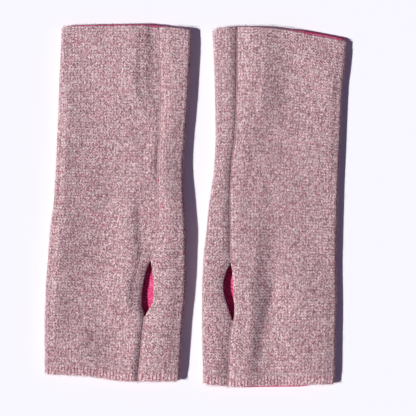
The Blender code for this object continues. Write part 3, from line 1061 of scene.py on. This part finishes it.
def valley_depth(n, wale, course, at_hem):
    """How deep in a valley a place is, from 0 to 1, which sets how much painted shade it gets, and how
    deep in the pinch at a leg's end.
    """
    over, aside = n.off_middle(course), n.off_middle(wale)
    leg_end = n.off_middle(n.math("MULTIPLY", wale, 2.0))
    between = n.math("MULTIPLY", n.remap(over, *BETWEEN_COURSES), BETWEEN_DEPTH)
    side = n.remap(aside, *WALE_SIDE, 0.0, WALE_SIDE_DEPTH)
    side = n.math("MULTIPLY", side, n.remap(over, *WALE_SIDE_COURSE))
    pinch = n.math("MULTIPLY", n.remap(leg_end, *LEG_END), LEG_END_DEPTH)
    valley = n.math("MAXIMUM", n.math("MAXIMUM", between, side), pinch)
    furrow = n.math("MULTIPLY", n.remap(aside, *FURROW_SIDE), n.remap(course, *FURROW_START))
    return n.remap(at_hem, 0.0, 1.0, valley, furrow), pinch


def shade_in_valleys(n, yarn, wale, course, at_hem):
    """The painted shade of each valley, plain or warm, and how much of the valley it takes."""
    spot = n.random(n.combine(n.math("ROUND", wale), n.math("ROUND", course), 0.5))
    taken = n.remap(spot[2], -0.5, 0.5, LEAST_VALLEY, yarn.valley_share)
    warmth = n.math("MAXIMUM", n.remap(spot[0], *WARM_VALLEYS), at_hem)
    for marked in MARKED_ROWS:
        here = n.math("COMPARE", n.math("ROUND", course), marked.course, 0.5)
        after = n.math("GREATER_THAN", wale, marked.first)
        before = n.math("LESS_THAN", wale, marked.last)
        inside = n.math("MULTIPLY", here, n.math("MULTIPLY", after, before))
        taken = n.math("MAXIMUM", taken, inside)
        warmth = n.math("MAXIMUM", warmth, inside)
    return n.mix(warmth, (*yarn.valley, 1.0), (*yarn.warm_valley, 1.0)), taken


def finish_wool(n, yarn, colour, height, bump):
    """Gives the shader soft matte wool of this colour, raised by this height."""
    n.set(n.shader, "Base Color", colour)
    n.set(n.shader, "Roughness", ROUGHNESS)
    n.set(n.shader, "Specular IOR Level", SPECULAR)
    n.set(n.shader, "Sheen Weight", yarn.sheen)
    n.set(n.shader, "Sheen Tint", (*yarn.sheen_tint, 1.0))
    relief = n.add("ShaderNodeBump", Strength=bump, Distance=RELIEF_DEPTH * MM, Height=height)
    n.set(n.shader, "Normal", relief.outputs["Normal"])


def knit_material(name, yarn):
    """Wool whose colour, fibres and valleys follow the stitches through the knit map, with painted shade
    darkening the valleys.
    """
    n = Nodes(name)
    places = n.add("ShaderNodeUVMap", {"uv_map": "knit"}).outputs["UV"]
    split = n.add("ShaderNodeSeparateXYZ", Vector=places)
    wale, course = split.outputs["X"], split.outputs["Y"]
    body = n.add("ShaderNodeTexCoord").outputs["Object"]
    fibres = n.noise(n.spread(wale, course, FIBRE_CELLS), 1.0, *FIBRE_NOISE)
    at_hem = n.remap(course, *RIBS_END)
    valley, pinch = valley_depth(n, wale, course, at_hem)
    valley_shade, taken = shade_in_valleys(n, yarn, wale, course, at_hem)
    colour = grain_colour(n, yarn, wale, course, body, fibres)
    # Painted shade: the colour darkens toward the valley colours in the valleys between the stitches and
    # in the furrows between the hem's ribs.
    colour = n.mix(n.math("MULTIPLY", valley, taken), colour, valley_shade)
    nap = n.math("MULTIPLY", n.noise(body, NAP_SCALE), NAP_RISE)
    height = n.math("SUBTRACT", n.math("MULTIPLY_ADD", fibres, FIBRE_RISE, nap), pinch)
    finish_wool(n, yarn, colour, height, KNIT_BUMP)
    n.set(n.shader, "Sheen Roughness", KNIT_SHEEN_ROUGHNESS)
    return n.material


def yarn_material(name, yarn):
    """Loose wool yarn, for the linking stitches, the pink specks and the loose fibres."""
    n = Nodes(name)
    body = n.add("ShaderNodeTexCoord").outputs["Object"]
    fibres = n.noise(body, YARN_SCALE, *FIBRE_NOISE)
    finish_wool(n, yarn, n.ramp(n.remap(fibres, *YARN_SPAN), yarn.tones), fibres, YARN_BUMP)
    return n.material


def build_mittens():
    heather = knit_material("heather_knit_wool", HEATHER)
    pink = knit_material("pink_knit_wool", PINK)
    seam_yarn = yarn_material("heather_seam_yarn", HEATHER)
    pink_yarn = yarn_material("pink_yarn", PINK)
    for mitten in (LEFT, RIGHT):
        outer, face = build_wall(mitten, OUTER, heather)
        stitches = [build_seam(mitten, face, seam_yarn)]
        if mitten is LEFT:
            stitches.append(build_specks(mitten, face, pink_yarn))
        stitches.append(build_fuzz(mitten, face, seam_yarn))
        inner, _ = build_wall(mitten, INNER, pink)


# The camera looks straight down. The picture is this many pixels wide, and a pixel is this large at
# the level of the fronts.
PICTURE = 416
PIXEL = 0.643
PIXEL_LEVEL = 5.0
CAMERA_PLACE = (7.99, -1.88, 1200.0)
SENSOR = 36.0

# The key light falls from the left and a little from the finger end: its height over the floor and
# its spread in degrees, and the way in which the shadows fall
LIGHT_ELEVATION = 44.0
LIGHT_SPREAD = 3.0
SHADOW_WAY = (10.5, 2.1)
LIGHT_ENERGY = 4.4
# The even light that fills the shadows
FILL_COLOUR = (0.71, 0.52, 1.0)
FILL_STRENGTH = 0.13

# The floor lies just below the knit
FLOOR_SIZE = 60000.0
FLOOR_LEVEL = -0.2
FLOOR_COLOUR = (0.885, 0.89, 0.91)
FLOOR_ROUGHNESS = 0.9


def add_camera():
    data = bpy.data.cameras.new("camera")
    data.sensor_width = SENSOR
    data.lens = SENSOR * (CAMERA_PLACE[2] - PIXEL_LEVEL) / (PICTURE * PIXEL)
    camera = bpy.data.objects.new("camera", data)
    camera.location = Vector(CAMERA_PLACE) * MM
    bpy.context.scene.collection.objects.link(camera)
    bpy.context.scene.camera = camera


def add_key_light():
    data = bpy.data.lights.new("key_light", "SUN")
    data.energy = LIGHT_ENERGY
    data.angle = math.radians(LIGHT_SPREAD)
    light = bpy.data.objects.new("key_light", data)
    reach = math.hypot(*SHADOW_WAY)
    drop = math.tan(math.radians(LIGHT_ELEVATION))
    travel = Vector((SHADOW_WAY[0] / reach, SHADOW_WAY[1] / reach, -drop))
    light.rotation_euler = travel.to_track_quat("-Z", "Y").to_euler()
    bpy.context.scene.collection.objects.link(light)


def add_fill_light():
    world = bpy.data.worlds.new("fill_light")
    world.use_nodes = True
    background = world.node_tree.nodes["Background"]
    background.inputs["Color"].default_value = (*FILL_COLOUR, 1.0)
    background.inputs["Strength"].default_value = FILL_STRENGTH
    bpy.context.scene.world = world


def add_floor():
    half = FLOOR_SIZE * MM / 2
    data = bpy.data.meshes.new("floor")
    corners = ((-half, -half), (half, -half), (half, half), (-half, half))
    data.from_pydata([(x, y, FLOOR_LEVEL * MM) for x, y in corners], [], [(0, 1, 2, 3)])
    material = bpy.data.materials.new("floor_paper")
    material.use_nodes = True
    shader = material.node_tree.nodes["Principled BSDF"]
    shader.inputs["Base Color"].default_value = (*FLOOR_COLOUR, 1.0)
    shader.inputs["Roughness"].default_value = FLOOR_ROUGHNESS
    data.materials.append(material)
    floor = bpy.data.objects.new("floor", data)
    bpy.context.scene.collection.objects.link(floor)


build_mittens()
add_camera()
add_key_light()
add_fill_light()
add_floor()
bpy.context.scene.view_settings.view_transform = "Standard"
